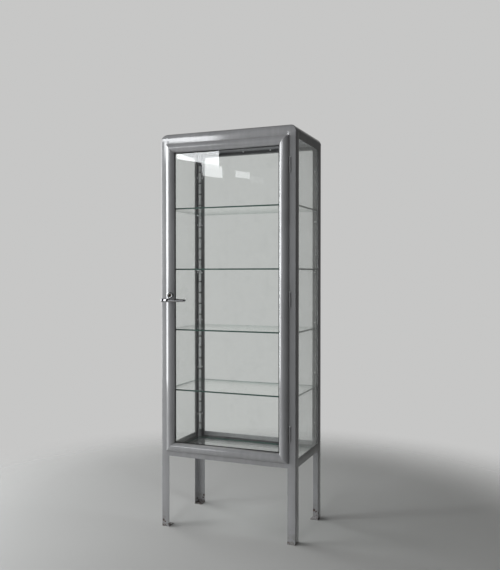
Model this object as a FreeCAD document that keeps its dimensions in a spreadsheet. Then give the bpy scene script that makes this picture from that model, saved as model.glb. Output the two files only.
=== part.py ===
import FreeCAD, Part
import os
import Sketcher

# Free-standing glazed display cabinet: four angle-iron posts that run down into legs, a pressed roof
# cap, glass walls, glass shelves on notched standards and one glazed door with a lever latch.
# Millimetres. +X is to the right of somebody facing the door, +Y is to the back, +Z is up. The origin
# is on the ground, under the middle of the overall width and depth, the door lever counted.

DIMENSIONS = (
    ("cabinet_width", 600, "over the outside of the posts"),
    ("cabinet_depth", 350, "over the outside of the posts"),
    ("cabinet_height", 1668, "ground to the top of the roof cap"),
    ("post_face", 34, "post flange across the front and the back"),
    ("post_side", 40, "post flange along the sides"),
    ("angle_gauge", 3, "thickness of posts and rails"),
    ("edge_round", 2, "outside edge of a rolled angle"),
    ("foot_thick", 3, "plate under each leg"),
    ("cap_depth", 30, "skirt and roll of the roof cap"),
    ("cap_gauge", 2, "sheet of the roof cap"),
    ("side_roll", 28, "radius of the cap's side edges"),
    ("front_roll", 20, "radius of the cap's front and back edges"),
    ("rail_base", 303, "underside of the lower rails"),
    ("rail_height", 35, "upright flange of the lower rails"),
    ("rail_flange", 30, "level flange of the lower rails"),
    ("front_head", 38, "front top rail, below the cap"),
    ("side_head", 26, "side top rails, below the cap"),
    ("rear_head", 18, "rear top rail, below the cap"),
    ("corner_sweep", 10, "rounded upper corners of the back opening"),
    ("corner_inset", 1.5, "swept corners inside the posts' edges"),
    ("pane_thick", 4, "wall and door glass"),
    ("floor_thick", 6, "glass floor"),
    ("shelf_thick", 6, "glass shelves"),
    ("bead_depth", 7, "glazing bead off the frame"),
    ("bead_width", 18, "upright beads of the side walls"),
    ("rear_bead_width", 14, "upright beads of the back wall"),
    ("bead_bar", 10, "level bead at the foot of a pane"),
    ("bead_cover", 8, "level bead down over the top of a pane"),
    ("bead_head", 2, "beads below the cap"),
    ("bead_post_gap", 2, "side beads inside the posts' edges"),
    ("bead_screw_in", 5, "screws inside the edge of a side bead"),
    ("rear_screw_in", 3.5, "screws outside the edge of the back pane"),
    ("top_screw_up", 2.5, "screws above the back pane"),
    ("glass_rest", 0.5, "panes above the lower rails"),
    ("glass_head", 6, "panes below the cap"),
    ("side_lap", 10, "side panes' edge inside the posts"),
    ("rear_lap", 6, "back pane behind each post"),
    ("floor_gap", 5, "floor glass behind the front posts"),
    ("strip_width", 15, "notched standard"),
    ("strip_thick", 2.5, "notched standard"),
    ("strip_in", 13.5, "middle of a standard inside the outer width"),
    ("strip_end", 30, "standard beyond its end notches"),
    ("notch_width", 7, "across the standard"),
    ("notch_height", 3, "clear height of a notch"),
    ("notch_first", 373.8, "middle of the lowest notch"),
    ("notch_pitch", 51.3, "from notch to notch"),
    ("clip_thick", 2, "shelf clip"),
    ("clip_reach", 30, "shelf clip off the standard"),
    ("clip_width", 6.8, "shelf clip"),
    ("clip_drop", 14, "shelf clip down the standard"),
    ("tab_width", 6, "clip hook in its notch"),
    ("shelf_front", 20, "shelf edge behind the front plane"),
    ("shelf_back", 12, "shelf edge before the back plane"),
    ("shelf_side", 12, "shelf edge inside the outer width"),
    ("door_width", 546, "over the half-round frame"),
    ("door_base", 324, "underside of the door"),
    ("door_height", 1300, "over the half-round frame"),
    ("door_gap", 3, "door frame before the posts"),
    ("member_radius", 20, "half-round door member"),
    ("member_gauge", 1.5, "sheet of the door members"),
    ("gasket_width", 3, "rubber round the door glass"),
    ("gasket_depth", 2, "rubber round the door glass"),
    ("door_lap", 7, "door glass behind its frame"),
    ("door_bead_near", 2, "door bead outside the opening"),
    ("door_bead_far", 10.5, "outer edge of the door bead outside the opening"),
    ("door_bead_over", 1.5, "door bead behind the glass"),
    ("door_screw_out", 8.8, "upright bead screws outside the opening"),
    ("mitre_room", 2, "mitre blocks beyond the members"),
    ("hinge_out", 277.5, "hinge axis from the middle"),
    ("hinge_fore", 3.5, "hinge axis before the front plane"),
    ("knuckle_radius", 3.2, "hinge barrel"),
    ("pin_radius", 1.5, "hinge pin"),
    ("hinge_length", 60, "one hinge"),
    ("leaf_gauge", 1, "sheet of the hinge leaves"),
    ("leaf_width", 20, "hinge leaf behind the door frame"),
    ("leaf_wrap", 2, "frame leaf round the post's edge"),
    ("knuckle_gap", 0.2, "between two knuckles of a hinge"),
    ("pin_crown", 2, "dome on a hinge pin"),
    ("buffer_width", 16, "rubber buffer"),
    ("buffer_out", 150, "level buffers from the middle"),
    ("running_gap", 0.05, "radial clearance of turning fits"),
    ("latch_out", 248, "lever and lock from the middle"),
    ("lever_level", 966, "lever axis above ground"),
    ("lock_level", 987, "lock axis above ground"),
    ("handle_reach", 58, "lever nose before the front plane"),
    ("lever_long", 86, "long arm of the lever"),
    ("lever_tail", 29, "short arm of the lever"),
    ("lever_in", 10, "lever axis behind its nose"),
    ("hub_radius", 7.9, "boss of the lever"),
    ("hub_crown", 5.2, "radius of the boss's flat nose"),
    ("hub_round", 4, "length of the boss's nose"),
    ("hub_gap", 0.3, "lever before its collar"),
    ("grip_root", 7.4, "long arm at the boss, radius"),
    ("grip_end", 4.8, "long arm at its tip, radius"),
    ("tip_radius", 5, "ball at the long arm's tip"),
    ("tail_root", 7.2, "short arm at the boss, radius"),
    ("tail_neck", 6, "short arm at its knob, radius"),
    ("knob_radius", 8, "ball on the short arm"),
    ("boss_reach", 4, "collar and rosette before the stile"),
    ("collar_radius", 7.6, "collar behind the lever"),
    ("rosette_radius", 13, "round lock rosette"),
    ("cup_radius", 9, "sunk face of the rosette"),
    ("cup_depth", 1.6, "sunk face of the rosette"),
    ("spindle_radius", 4, "lever spindle"),
    ("plug_radius", 6, "lock plug"),
    ("plug_length", 7.5, "lock plug"),
    ("plug_sunk", 1, "plug behind the rosette's rim"),
    ("stem_radius", 2.2, "stem behind the plug"),
    ("stem_length", 6.5, "stem behind the plug"),
    ("key_width", 1.6, "keyway"),
    ("key_height", 8, "keyway"),
    ("key_depth", 5, "keyway"),
    ("lock_tail_width", 4.8, "lock tail"),
    ("lock_tail_reach", 11, "lock tail above the lock's axis"),
    ("lock_tail_gauge", 1.5, "lock tail"),
    ("case_gauge", 1.2, "sheet of the lock case"),
    ("case_front", 15, "lock case before the back of the door"),
    ("case_back", 1.7, "lock case before the back of the door"),
    ("case_outward", 13, "lock case outside the lever's axis"),
    ("case_inward", 5, "lock case inside the lever's axis"),
    ("case_below", 26, "lock case below the lever's axis"),
    ("case_above", 17, "lock case above the lock's axis"),
    ("cam_width", 12, "latch cam"),
    ("cam_reach", 28, "latch cam below the lever's axis"),
    ("cam_gauge", 3, "latch cam"),
    ("cam_eye", 8, "eye of the latch cam, radius"),
    ("cam_play", 0.5, "latch cam behind the post"),
    ("cam_screw_head", 6, "head of the cam screw, radius"),
    ("cam_screw_crown", 4.2, "top of that head, radius"),
    ("cam_screw_high", 2.2, "height of that head"),
)

SHELVES = 4
SHELF_FIRST_NOTCH = 4
SHELF_NOTCH_STEP = 5
NOTCHES = 24
HINGE_LEVELS = (0.09, 0.5, 0.91)
SIDES = (("left", -1), ("right", 1))
BUFFER_LEVELS = (0.06, 0.94)
STANDARD_SCREWS = 4
STANDARD_SCREW_FIRST = 1.5
STANDARD_SCREW_STEP = 6.67
POCKET_MARGIN = 1
PLATE_MARGIN = 1

# Screws by kind: shank radius, head radius, head height.
SCREWS = {
    "side_bead": (1.5, 3, 1.6),
    "rear_bead": (1.5, 2.6, 1.6),
    "rear_top_bead": (1.2, 2.4, 1.6),
    "standard": (1.6, 3.2, 1.4),
    "door_bead": (1.2, 2.2, 1.4),
}
HEAD_TAPER = 0.6
CROWN_STEP = 0.6
WALL_TRIM = 0.75

doc = FreeCAD.newDocument("display_cabinet")
sheet = doc.addObject("Spreadsheet::Sheet", "Dims")
nodes = []


class Size:
    """A length that also carries the spreadsheet formula which gives it."""

    def __init__(self, value, formula):
        self.value = value
        self.formula = formula

    def __add__(self, other):
        other = as_size(other)
        return Size(self.value + other.value, f"({self.formula} + {other.formula})")

    def __sub__(self, other):
        other = as_size(other)
        return Size(self.value - other.value, f"({self.formula} - {other.formula})")

    def __rsub__(self, other):
        return as_size(other) - self

    def __mul__(self, number):
        return Size(self.value * number, f"({self.formula} * ({number}))")

    def __truediv__(self, number):
        return Size(self.value / number, f"({self.formula} / {number})")

    def __neg__(self):
        return self * -1

    __radd__ = __add__
    __rmul__ = __mul__


def as_size(item):
    return item if isinstance(item, Size) else Size(float(item), f"({float(item)})")


def fill_sheet():
    """Writes the driving dimensions and returns them by name."""
    sizes = {}
    for row, (alias, value, note) in enumerate(DIMENSIONS, start=1):
        sheet.set(f"A{row}", alias)
        sheet.set(f"B{row}", str(value))
        sheet.set(f"C{row}", note)
        sheet.setAlias(f"B{row}", alias)
        sizes[alias] = Size(float(value), f"Dims.{alias}")
    doc.recompute()
    return sizes


def bind(piece, name, size):
    """Ties one property of a piece to its formula in the sheet."""
    piece.setExpression(name, as_size(size).formula)


def keep(piece):
    """Marks a finished sub-part, which gets its own file."""
    nodes.append(piece)
    return piece


def place(piece, base, rotation=None):
    """Puts a piece at a point given by three sizes."""
    start = [as_size(item) for item in base]
    turn = rotation or FreeCAD.Rotation()
    piece.Placement = FreeCAD.Placement(FreeCAD.Vector(*(item.value for item in start)), turn)
    for letter, item in zip("xyz", start):
        bind(piece, f"Placement.Base.{letter}", item)


def block(label, *spans):
    """A plain block; each span is the pair of its two ends along X, Y and Z, in any order."""
    piece = doc.addObject("Part::Box", label)
    piece.Label = label
    ends = [sorted((as_size(a), as_size(b)), key=lambda end: end.value) for a, b in spans]
    for name, (low, high) in zip(("Length", "Width", "Height"), ends):
        bind(piece, name, high - low)
    place(piece, [low for low, high in ends])
    return piece


TURNS = {
    "x": FreeCAD.Rotation(FreeCAD.Vector(0, 1, 0), 90),
    "y": FreeCAD.Rotation(FreeCAD.Vector(1, 0, 0), -90),
    "z": FreeCAD.Rotation(),
}


def rod(label, axis, base, radius, length, tip_radius=None):
    """A cylinder, or a cone where tip_radius is given, from base along one axis."""
    piece = doc.addObject("Part::Cone" if tip_radius is not None else "Part::Cylinder", label)
    piece.Label = label
    if tip_radius is None:
        bind(piece, "Radius", radius)
    else:
        bind(piece, "Radius1", radius)
        bind(piece, "Radius2", tip_radius)
    bind(piece, "Height", length)
    place(piece, base, TURNS[axis])
    return piece


def ball(label, axis, centre, radius):
    """A sphere whose poles lie on one axis."""
    piece = doc.addObject("Part::Sphere", label)
    piece.Label = label
    bind(piece, "Radius", radius)
    place(piece, centre, TURNS[axis])
    return piece


def group(label, pieces):
    """Several separate solids that share one node."""
    piece = doc.addObject("Part::Compound", label)
    piece.Label = label
    piece.Links = pieces
    return piece


def fuse(label, pieces):
    piece = doc.addObject("Part::MultiFuse", label)
    piece.Label = label
    piece.Shapes = pieces
    piece.Refine = True
    return piece


def cut(label, base, tool):
    piece = doc.addObject("Part::Cut", label)
    piece.Label = label
    piece.Base = base
    piece.Tool = tool
    return piece


def common(label, first, second):
    piece = doc.addObject("Part::MultiCommon", label)
    piece.Label = label
    piece.Shapes = [first, second]
    return piece


def new_body(label):
    body = doc.addObject("PartDesign::Body", label)
    body.Label = label
    return body


def origin_feature(body, role):
    return next(item for item in body.Origin.OriginFeatures if item.Role == role)


def sketch_on(body, role, name):
    sketch = body.newObject("Sketcher::SketchObject", name)
    sketch.AttachmentSupport = [(origin_feature(body, role), "")]
    sketch.MapMode = "FlatFace"
    return sketch


def draw_outline(sketch, points):
    """A closed run of straight lines, with every corner dimensioned from the sketch's origin."""
    corners = [(as_size(u), as_size(v)) for u, v in points]
    spots = [FreeCAD.Vector(u.value, v.value, 0) for u, v in corners]
    first = sketch.GeometryCount
    for index, spot in enumerate(spots):
        sketch.addGeometry(Part.LineSegment(spot, spots[(index + 1) % len(spots)]))
    for index in range(len(spots)):
        following = first + (index + 1) % len(spots)
        sketch.addConstraint(Sketcher.Constraint("Coincident", first + index, 2, following, 1))
    for index, corner in enumerate(corners):
        for kind, size in zip(("DistanceX", "DistanceY"), corner):
            rule = Sketcher.Constraint(kind, -1, 1, first + index, 1, size.value)
            number = sketch.addConstraint(rule)
            sketch.setExpression(f"Constraints[{number}]", size.formula)


def rectangle(u_low, u_high, v_low, v_high):
    return ((u_low, v_low), (u_high, v_low), (u_high, v_high), (u_low, v_high))


def pad(body, sketch, length, towards_back=False):
    feature = body.newObject("PartDesign::Pad", "Pad")
    feature.Profile = sketch
    bind(feature, "Length", length)
    feature.Reversed = towards_back
    doc.recompute()
    return feature


def pocket_through(body, sketch):
    """Cuts a sketch's outline right through the body, both ways."""
    feature = body.newObject("PartDesign::Pocket", "Pocket")
    feature.Profile = sketch
    feature.Type = "ThroughAll"
    feature.Midplane = True
    before = body.Shape.Volume
    doc.recompute()
    if feature.Shape.Volume > before - 0.1:
        raise RuntimeError(f"the pocket in {body.Label} cuts nothing")
    return feature


def round_edges(body, base, radius, wanted):
    """Rounds the edges of the base feature for which wanted(edge) holds."""
    names = [f"Edge{i}" for i, edge in enumerate(base.Shape.Edges, start=1) if wanted(edge)]
    feature = body.newObject("PartDesign::Fillet", "Fillet")
    feature.Base = (base, names)
    bind(feature, "Radius", radius)
    doc.recompute()
    return feature


def runs_at(edge, letter, spots):
    """True for a straight edge along one axis that passes one of the spots on the other two axes."""
    if not isinstance(edge.Curve, (Part.Line, Part.LineSegment)):
        return False
    others = [name for name in "xyz" if name != letter]
    along = edge.Vertexes[-1].Point - edge.Vertexes[0].Point
    if any(abs(getattr(along, name)) > 1e-6 for name in others):
        return False
    middle = edge.CenterOfMass
    found = [getattr(middle, name) for name in others]
    return any(abs(found[0] - a) < 0.01 and abs(found[1] - b) < 0.01 for a, b in spots)


d = fill_sheet()
half = d["cabinet_width"] / 2
front = (d["handle_reach"] - d["cabinet_depth"]) / 2
back = front + d["cabinet_depth"]
gauge = d["angle_gauge"]
cap_base = d["cabinet_height"] - d["cap_depth"]
opening = half - d["post_face"]
rail_top = d["rail_base"] + d["rail_height"]
ledge = d["rail_base"] + gauge
inner_side = half - gauge
inner_front = front + gauge
inner_back = back - gauge
pane = d["pane_thick"]


def make_posts():
    """Four angles from the foot plates to the roof cap, with the plates."""
    plates = []
    for depth_name, face, inward in (("front", front, 1), ("rear", back, -1)):
        for side_name, side in SIDES:
            label = f"leg_{depth_name}_{side_name}"
            body = new_body(label)
            sketch = sketch_on(body, "XY_Plane", f"{label}_section")
            outer = half * side
            draw_outline(sketch, (
                (outer, face),
                (opening * side, face),
                (opening * side, face + gauge * inward),
                (inner_side * side, face + gauge * inward),
                (inner_side * side, face + d["post_side"] * inward),
                (outer, face + d["post_side"] * inward),
            ))
            angle = pad(body, sketch, cap_base - d["foot_thick"])
            corner = (outer.value, face.value)
            round_edges(body, angle, d["edge_round"], lambda edge: runs_at(edge, "z", [corner]))
            place(body, (0, 0, d["foot_thick"]))
            keep(body)
            plates.append(block(
                f"foot_plate_{depth_name}_{side_name}",
                (outer, (opening - PLATE_MARGIN) * side),
                (face, face + (d["post_side"] + PLATE_MARGIN) * inward),
                (0, d["foot_thick"]),
            ))
    keep(group("foot_plates", plates))


def rolled_form(label, inset, base, top):
    """The cap's outside, or its inside when inset: two barrel shapes that meet in mitred corners."""
    x_end = half - inset
    y_low = front + inset
    y_high = back - inset
    height = top - base
    across = new_body(f"{label}_across")
    sketch = sketch_on(across, "XY_Plane", f"{label}_across_plan")
    draw_outline(sketch, rectangle(-x_end, x_end, y_low, y_high))
    lump = pad(across, sketch, height)
    ends = [(end * x_end.value, height.value) for end in (-1, 1)]
    round_edges(across, lump, d["side_roll"] - inset, lambda edge: runs_at(edge, "y", ends))
    place(across, (0, 0, base))
    along = new_body(f"{label}_along")
    sketch = sketch_on(along, "XY_Plane", f"{label}_along_plan")
    draw_outline(sketch, rectangle(-x_end, x_end, y_low, y_high))
    lump = pad(along, sketch, height)
    ends = [(y_low.value, height.value), (y_high.value, height.value)]
    round_edges(along, lump, d["front_roll"] - inset, lambda edge: runs_at(edge, "x", ends))
    place(along, (0, 0, base))
    return common(label, across, along)


def make_roof():
    """The pressed roof cap: one sheet, rolled down on all four sides."""
    outside = rolled_form("cap_outside", as_size(0), cap_base, d["cabinet_height"])
    sheet_gauge = d["cap_gauge"]
    inside = rolled_form(
        "cap_inside", sheet_gauge, cap_base - sheet_gauge, d["cabinet_height"] - sheet_gauge
    )
    keep(cut("roof_cap", outside, inside))


def rail_angle(label, role, points, length, base):
    """A straight length of bar with one section; role is the plane that the section lies in."""
    body = new_body(label)
    sketch = sketch_on(body, role, f"{label}_section")
    draw_outline(sketch, points)
    pad(body, sketch, length, towards_back=(role == "XZ_Plane"))
    place(body, base)
    return keep(body)


def l_section(face, inward, low, high, flange):
    """An angle whose level flange is at its foot and points inwards."""
    return (
        (face, low),
        (face, high),
        (face + gauge * inward, high),
        (face + gauge * inward, low + gauge),
        (face + (gauge + flange) * inward, low + gauge),
        (face + (gauge + flange) * inward, low),
    )


def make_rails():
    """Lower and upper rails between the posts."""
    lower = (d["rail_base"], rail_top, d["rail_flange"])
    span = opening * 2
    start = (-opening, 0, 0)
    rail_angle("front_bottom_rail", "YZ_Plane", l_section(front, 1, *lower), span, start)
    rail_angle("rear_bottom_rail", "YZ_Plane", l_section(back, -1, *lower), span, start)
    side_start = (0, front + d["post_side"], 0)
    side_span = d["cabinet_depth"] - d["post_side"] * 2
    for side_name, side in SIDES:
        outline = l_section(half * side, -side, *lower)
        rail_angle(f"{side_name}_bottom_rail", "XZ_Plane", outline, side_span, side_start)
        plate = (half * side, inner_side * side)
        run = (front + d["post_side"], back - d["post_side"])
        keep(block(f"{side_name}_top_rail", plate, run, (cap_base - d["side_head"], cap_base)))
    head = l_section(front, 1, cap_base - d["front_head"], cap_base, d["front_roll"])
    rail_angle("front_top_rail", "YZ_Plane", head, span, start)
    make_rear_head()


def make_rear_head():
    """The rear top rail, whose lower corners sweep down into the posts."""
    body = new_body("rear_top_rail")
    sweep = d["corner_sweep"]
    edge = cap_base - d["rear_head"]
    foot = edge - sweep - POCKET_MARGIN
    sketch = sketch_on(body, "XZ_Plane", "rear_head_plate")
    draw_outline(sketch, rectangle(-opening, opening, foot, cap_base))
    pad(body, sketch, gauge, towards_back=True)
    cutout = sketch_on(body, "XZ_Plane", "rear_head_cutout")
    half_hole = opening - d["corner_inset"]
    draw_outline(cutout, rectangle(-half_hole, half_hole, foot - POCKET_MARGIN, edge))
    hollow = pocket_through(body, cutout)
    spots = [(side * half_hole.value, edge.value) for side in (-1, 1)]
    round_edges(body, hollow, sweep, lambda item: runs_at(item, "y", spots))
    place(body, (0, inner_back, 0))
    keep(body)


def screw(label, kind, axis, base, shank_length, outward):
    """A round-head screw. base is under its head, outward is +1 or -1 along the axis."""
    shank_radius, head_radius, head_height = SCREWS[kind]
    crown_radius = head_radius * HEAD_TAPER
    tip = list(base)
    crown = list(base)
    slot = "xyz".index(axis)
    if outward > 0:
        tip[slot] = as_size(base[slot]) - shank_length
        head = rod(f"{label}_head", axis, crown, head_radius, head_height, crown_radius)
    else:
        crown[slot] = as_size(base[slot]) - head_height
        head = rod(f"{label}_head", axis, crown, crown_radius, head_height, head_radius)
    shank = rod(f"{label}_shank", axis, tip, shank_radius, shank_length)
    return fuse(label, [head, shank])


def fractions(count):
    """Evenly spaced shares of a length, half a step in from both ends."""
    return [(index + 0.5) / count for index in range(count)]


def side_wall(side_name, side):
    """One side pane with its four beads; returns the bead screws."""
    low = ledge + d["glass_rest"]
    high = cap_base - d["glass_head"]
    outer = inner_side * side
    inner = (inner_side - pane) * side
    face = (inner_side - d["bead_depth"]) * side
    lap = d["post_side"] - d["side_lap"]
    glass = block(f"{side_name}_glass", (outer, inner), (front + lap, back - lap), (low, high))
    keep(glass)
    foot = low + pane
    head = cap_base - d["bead_head"]
    clear = d["post_side"] - d["bead_post_gap"]
    outside = clear - d["bead_width"]
    top = (high - d["bead_cover"], head)
    bottom = (foot, foot + d["bead_bar"])
    bars = [
        block(f"{side_name}_bead_front", (outer, face), (front + outside, front + clear), (foot, head)),
        block(f"{side_name}_bead_rear", (outer, face), (back - outside, back - clear), (foot, head)),
        block(f"{side_name}_bead_top", (outer, face), (front + clear, back - clear), top),
        block(f"{side_name}_bead_foot", (outer, face), (front + clear, back - clear), bottom),
    ]
    screws = []
    for index, share in enumerate(fractions(6)):
        level = foot + (head - foot) * share
        inset = outside + d["bead_screw_in"]
        for end, y_spot in (("front", front + inset), ("rear", back - inset)):
            screws.append(screw(
                f"{side_name}_bead_screw_{end}_{index + 1}", "side_bead", "x",
                (face, y_spot, level), d["bead_depth"], -side,
            ))
    beads = group(f"{side_name}_bead_bars", bars)
    tools = group(f"{side_name}_bead_tools", [glass] + screws)
    keep(cut(f"{side_name}_glazing_beads", beads, tools))
    return screws


def rear_wall():
    """The back pane with its four beads; returns the bead screws."""
    low = ledge + d["glass_rest"]
    high = cap_base - d["glass_head"]
    edge = opening + d["rear_lap"]
    face = inner_back - d["bead_depth"]
    inner = inner_back - pane
    glass = keep(block("rear_glass", (-edge, edge), (inner, inner_back), (low, high)))
    foot = low + pane
    head = cap_base - d["bead_head"]
    clear = opening - PLATE_MARGIN
    outside = clear + d["rear_bead_width"]
    top = (high - d["bead_cover"], head)
    bottom = (foot, foot + d["bead_bar"])
    depth = (face, inner_back)
    bars = [
        block("rear_bead_left", (-outside, -clear), depth, (foot, head)),
        block("rear_bead_right", (clear, outside), depth, (foot, head)),
        block("rear_bead_top", (-clear, clear), depth, top),
        block("rear_bead_foot", (-clear, clear), depth, bottom),
    ]
    screws = []
    for index, share in enumerate(fractions(6)):
        level = foot + (head - foot) * share
        for side_name, side in SIDES:
            screws.append(screw(
                f"rear_bead_screw_{side_name}_{index + 1}", "rear_bead", "y",
                ((edge + d["rear_screw_in"]) * side, face, level), d["bead_depth"], -1,
            ))
    for index, share in enumerate(fractions(4)):
        across = clear * (2 * share - 1)
        screws.append(screw(
            f"rear_bead_screw_top_{index + 1}", "rear_top_bead", "y",
            (across, face, high + d["top_screw_up"]), d["bead_depth"], -1,
        ))
    beads = group("rear_bead_bars", bars)
    tools = group("rear_bead_tools", [glass] + screws)
    keep(cut("rear_glazing_beads", beads, tools))
    return screws


def make_glazing():
    """Three walls of glass and the glass floor."""
    screws = rear_wall()
    for side_name, side in SIDES:
        screws += side_wall(side_name, side)
    keep(group("bead_screws", screws))
    edge = inner_side - d["bead_depth"]
    run = (inner_front + d["floor_gap"], inner_back - d["bead_depth"] - PLATE_MARGIN)
    keep(block("floor_glass", (-edge, edge), run, (ledge, ledge + d["floor_thick"])))


STRIP_ENDS = (("front", 1), ("rear", -1))


def strip_middle(side):
    return (half - d["strip_in"]) * side


def strip_face(inward):
    """The room-side face of a standard."""
    base = inner_front if inward > 0 else inner_back
    return base + d["strip_thick"] * inward


def make_standards():
    """Four notched strips, one in each corner, and the screws that hold them to the posts."""
    screws = []
    low = d["notch_first"] - d["strip_end"]
    high = d["notch_first"] + d["notch_pitch"] * (NOTCHES - 1) + d["strip_end"]
    for depth_name, inward in STRIP_ENDS:
        base = inner_front if inward > 0 else inner_back - d["strip_thick"]
        for side_name, side in SIDES:
            label = f"standard_{depth_name}_{side_name}"
            body = new_body(label)
            sketch = sketch_on(body, "XZ_Plane", f"{label}_plate")
            half_strip = d["strip_width"] / 2
            draw_outline(sketch, rectangle(-half_strip, half_strip, low, high))
            pad(body, sketch, d["strip_thick"], towards_back=True)
            slot = sketch_on(body, "XZ_Plane", f"{label}_notch")
            half_notch = d["notch_width"] / 2
            half_high = d["notch_height"] / 2
            level = d["notch_first"]
            draw_outline(slot, rectangle(-half_notch, half_notch, level - half_high, level + half_high))
            notch = pocket_through(body, slot)
            pattern = body.newObject("PartDesign::LinearPattern", "Notches")
            pattern.Originals = [notch]
            pattern.Direction = (origin_feature(body, "Z_Axis"), [""])
            bind(pattern, "Length", d["notch_pitch"] * (NOTCHES - 1))
            pattern.Occurrences = NOTCHES
            body.Tip = pattern
            place(body, (strip_middle(side), base, 0))
            doc.recompute()
            holes = []
            for index in range(STANDARD_SCREWS):
                notches_up = STANDARD_SCREW_FIRST + STANDARD_SCREW_STEP * index
                spot = d["notch_first"] + d["notch_pitch"] * notches_up
                holes.append(screw(
                    f"{label}_screw_{index + 1}", "standard", "y",
                    (strip_middle(side), strip_face(inward), spot), d["strip_thick"], inward,
                ))
            screws += holes
            drill = group(f"{label}_drill", holes)
            keep(cut(f"shelf_{label}", body, drill))
    keep(group("standard_screws", screws))


def shelf_bottom(number):
    notch = SHELF_FIRST_NOTCH + SHELF_NOTCH_STEP * number
    return d["notch_first"] + d["notch_pitch"] * notch + d["clip_thick"] / 2


def make_shelves():
    """Glass shelves, each on four clips that hook into the notches."""
    for number in range(SHELVES):
        bottom = shelf_bottom(number)
        clips = []
        for depth_name, inward in STRIP_ENDS:
            face = strip_face(inward)
            for side_name, side in SIDES:
                label = f"clip_{number + 1}_{depth_name}_{side_name}"
                middle = strip_middle(side)
                thick = d["clip_thick"]
                breadth = (middle - d["clip_width"] / 2, middle + d["clip_width"] / 2)
                hook = (middle - d["tab_width"] / 2, middle + d["tab_width"] / 2)
                plate = block(
                    f"{label}_plate", breadth,
                    (face, face + d["clip_reach"] * inward), (bottom - thick, bottom),
                )
                web = block(
                    f"{label}_web", breadth,
                    (face, face + thick * inward), (bottom - d["clip_drop"], bottom - thick),
                )
                tab = block(
                    f"{label}_tab", hook,
                    (face - d["strip_thick"] * inward, face), (bottom - thick, bottom),
                )
                clips.append(fuse(label, [plate, web, tab]))
        keep(group(f"shelf_{number + 1}_clips", clips))
        edge = half - d["shelf_side"]
        run = (front + d["shelf_front"], back - d["shelf_back"])
        keep(block(f"shelf_{number + 1}_glass", (-edge, edge), run, (bottom, bottom + d["shelf_thick"])))


door_left = -(d["door_width"] / 2)
door_right = d["door_width"] / 2
door_low = d["door_base"]
door_high = d["door_base"] + d["door_height"]
door_back = front - d["door_gap"]
member = d["member_radius"]


def half_round(label, axis, centre, length):
    """A half-round hollow bar, its flat side at the back and closed by a wall."""
    reach = d["member_gauge"]
    outer = rod(f"{label}_outer", axis, centre, member, length)
    inner = rod(f"{label}_inner", axis, centre, member - reach, length)
    tube = cut(f"{label}_tube", outer, inner)
    ends = [[-member, member], [-member, as_size(0)], [-member, member]]
    along = "xyz".index(axis)
    ends[along] = [as_size(0), length]
    spans = [(as_size(c) + low, as_size(c) + high) for c, (low, high) in zip(centre, ends)]
    shell = common(f"{label}_shell", tube, block(f"{label}_half", *spans))
    spans[1] = (door_back - reach, door_back)
    trim = member - reach * WALL_TRIM
    cross = 2 - along
    spans[cross] = (as_size(centre[cross]) - trim, as_size(centre[cross]) + trim)
    return fuse(f"{label}_bar", [shell, block(f"{label}_wall", *spans)])


def mitre(label, points):
    """The part of the door's plane that one mitred member takes up."""
    body = new_body(label)
    sketch = sketch_on(body, "XZ_Plane", f"{label}_outline")
    draw_outline(sketch, points)
    pad(body, sketch, member + d["mitre_room"] * 2)
    place(body, (0, door_back + d["mitre_room"], 0))
    return body


def latch_holes():
    """Clearance for the spindle and the lock plug through the left stile."""
    reach = member + d["mitre_room"] * 2
    start = door_back - member - d["mitre_room"]
    spindle = rod("spindle_hole", "y", (-d["latch_out"], start, d["lever_level"]),
                  d["spindle_radius"] + d["running_gap"], reach)
    plug = rod("plug_hole", "y", (-d["latch_out"], start, d["lock_level"]),
               d["plug_radius"] + d["running_gap"], member)
    return group("latch_holes", [spindle, plug])


def make_door_frame():
    """Two stiles and two rails, half-round and mitred at the corners."""
    width = member * 2
    outlines = {
        "door_stile_left": (
            (door_left, door_low), (door_left + width, door_low + width),
            (door_left + width, door_high - width), (door_left, door_high),
        ),
        "door_stile_right": (
            (door_right, door_low), (door_right, door_high),
            (door_right - width, door_high - width), (door_right - width, door_low + width),
        ),
        "door_rail_bottom": (
            (door_left, door_low), (door_right, door_low),
            (door_right - width, door_low + width), (door_left + width, door_low + width),
        ),
        "door_rail_top": (
            (door_left, door_high), (door_left + width, door_high - width),
            (door_right - width, door_high - width), (door_right, door_high),
        ),
    }
    starts = {
        "door_stile_left": ("z", (door_left + member, door_back, door_low), d["door_height"]),
        "door_stile_right": ("z", (door_right - member, door_back, door_low), d["door_height"]),
        "door_rail_bottom": ("x", (door_left, door_back, door_low + member), d["door_width"]),
        "door_rail_top": ("x", (door_left, door_back, door_high - member), d["door_width"]),
    }
    for label, points in outlines.items():
        bar = half_round(label, *starts[label])
        zone = mitre(f"{label}_zone", points)
        if label == "door_stile_left":
            whole = common(f"{label}_mitred", bar, zone)
            keep(cut(label, whole, latch_holes()))
        else:
            keep(common(label, bar, zone))


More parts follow.
